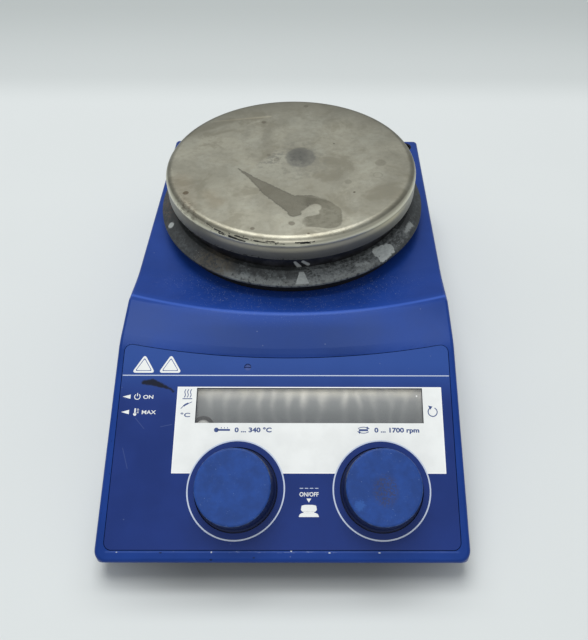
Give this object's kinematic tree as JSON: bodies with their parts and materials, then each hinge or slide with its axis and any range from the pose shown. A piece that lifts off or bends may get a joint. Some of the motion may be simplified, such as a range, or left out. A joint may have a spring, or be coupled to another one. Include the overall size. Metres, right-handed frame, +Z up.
{
  "type": "magnetic stirrer",
  "caption": "Heating magnetic stirrer with a round steel plate on a flared ring, a sloping control panel with a display and turn-and-push knobs, and a motor that spins magnets under the plate.",
  "frame": {"origin": "on the table under the middle of the housing", "axes": "+X to the user's right, +Y to the back, +Z up"},
  "size_m": [0.16, 0.2663, 0.085],
  "materials": {
    "blue_casting": "satin blue coating on cast aluminium, worn along the edges",
    "pan_grey": "dark grey powder coat",
    "foot_rubber": "matte",
    "screw_steel": "zinc plated",
    "panel_blue": "moulded, dark blue",
    "front_foil": "printed foil, satin",
    "display_glass": "clear window",
    "display_cell": "silver grey liquid crystal cell",
    "holder_white": "moulded frame",
    "knob_blue": "moulded knob, scuffed on top",
    "encoder_steel": "stamped case",
    "plunger_white": "moulded",
    "brass_part": "turned",
    "board_green": "glass fibre laminate with solder mask",
    "ribbon_grey": "flat cable",
    "lead_white": "braided glass fibre sleeve",
    "plate_steel": "satin, stained by heat and spills",
    "heater_steel": "heat tinted",
    "mineral_board": "pressed mineral board",
    "sensor_steel": "polished sleeve",
    "black_enamel": "smooth black enamel",
    "ring_enamel": "dark enamel, weathered and chipped",
    "collar_black": "glass filled thermoset",
    "sheet_aluminium": "rolled sheet",
    "motor_steel": "zinc plated",
    "stack_iron": "laminated sheet stack",
    "winding_copper": "enamelled copper wire",
    "bearing_steel": "ground",
    "shaft_steel": "ground",
    "magnet_dark": "ferrite",
    "seal_rubber": "matte",
    "bush_black": "blackened steel, tapped M10",
    "connector_black": "moulded",
    "pin_brass": "nickel plated",
    "transformer_iron": "laminated, varnished",
    "capacitor_sleeve": "shrink sleeve",
    "switch_black": "moulded",
    "adjuster_grey": "moulded"
  },
  "bodies": {
    "housing": {"adjuster_body": "adjuster_grey", "base_pan": "pan_grey", "base_screws": "screw_steel", "board_screws": "screw_steel", "control_panel": "panel_blue", "display_board": "board_green", "display_window": "display_glass", "encoder_nuts": "screw_steel", "foot_front_left": "foot_rubber", "foot_front_right": "foot_rubber", "foot_rear_left": "foot_rubber", "foot_rear_right": "foot_rubber", "heat_shield": "sheet_aluminium", "heater_clamp": "heater_steel", "heater_leads": "lead_white", "heating_element": "heater_steel", "heating_plate": "plate_steel", "inlet_pins": "pin_brass", "insulating_collar": "collar_black", "insulation_disc": "mineral_board", "lcd_cell": "display_cell", "lcd_holder": "holder_white", "main_board": "board_green", "mains_inlet": "connector_black", "motor_bearings": "bearing_steel", "motor_bracket": "motor_steel", "motor_can": "motor_steel", "motor_end_cap": "motor_steel", "motor_screws": "screw_steel", "motor_stator": "stack_iron", "motor_windings": "winding_copper", "neck_ring": "black_enamel", "panel_foil": "front_foil", "panel_screw": "screw_steel", "plate_standoffs": "screw_steel", "power_transformer": "transformer_iron", "ribbon_cable": "ribbon_grey", "sensor_socket": "connector_black", "shaft_seal": "seal_rubber", "skirt_ring": "ring_enamel", "smoothing_capacitors": "capacitor_sleeve", "speed_encoder": "encoder_steel", "stand_bush": "bush_black", "standoff_screws": "screw_steel", "switch_body": "connector_black", "temperature_encoder": "encoder_steel", "temperature_sensor": "sensor_steel", "upper_housing": "blue_casting"},
    "temperature_push": {"temperature_plunger": "plunger_white"},
    "temperature_dial": {"temperature_knob": "knob_blue", "temperature_shaft": "brass_part"},
    "speed_push": {"speed_plunger": "plunger_white"},
    "speed_dial": {"speed_knob": "knob_blue", "speed_shaft": "brass_part"},
    "stirring_rotor": {"motor_rotor": "stack_iron", "motor_shaft": "shaft_steel", "magnet_carrier": "motor_steel", "drive_magnets": "magnet_dark"},
    "mains_rocker": {"power_rocker": "switch_black"},
    "safe_adjuster": {"safe_temperature_adjuster": "brass_part"}
  },
  "joints": [
    {"name": "temperature_knob_push", "type": "slide", "parent": "housing", "child": "temperature_push", "axis": [0, 0.3987, -0.9171], "range_m": [0, 0.0012], "stiffness_N_per_m": 1500, "springref_m": -0.0006},
    {"name": "temperature_knob_turn", "type": "hinge", "parent": "temperature_push", "child": "temperature_dial", "pos_m": [-0.0209, -0.10622, 0.02454], "axis": [0, -0.3987, 0.9171], "continuous": true},
    {"name": "speed_knob_push", "type": "slide", "parent": "housing", "child": "speed_push", "axis": [0, 0.3987, -0.9171], "range_m": [0, 0.0012], "stiffness_N_per_m": 1500, "springref_m": -0.0006},
    {"name": "speed_knob_turn", "type": "hinge", "parent": "speed_push", "child": "speed_dial", "pos_m": [0.0428, -0.10622, 0.02454], "axis": [0, -0.3987, 0.9171], "continuous": true},
    {"name": "stirrer_spin", "type": "hinge", "parent": "housing", "child": "stirring_rotor", "pos_m": [0, 0.057, 0.05], "axis": [0, 0, 1], "continuous": true},
    {"name": "mains_rocker_tilt", "type": "hinge", "parent": "housing", "child": "mains_rocker", "pos_m": [-0.074, -0.064, 0.024], "axis": [0, 1, 0], "range_deg": [0, 18]},
    {"name": "safe_adjuster_turn", "type": "hinge", "parent": "housing", "child": "safe_adjuster", "pos_m": [-0.0792, -0.0785, 0.02], "axis": [-1, 0, 0], "range_deg": [-135, 135]}
  ]
}
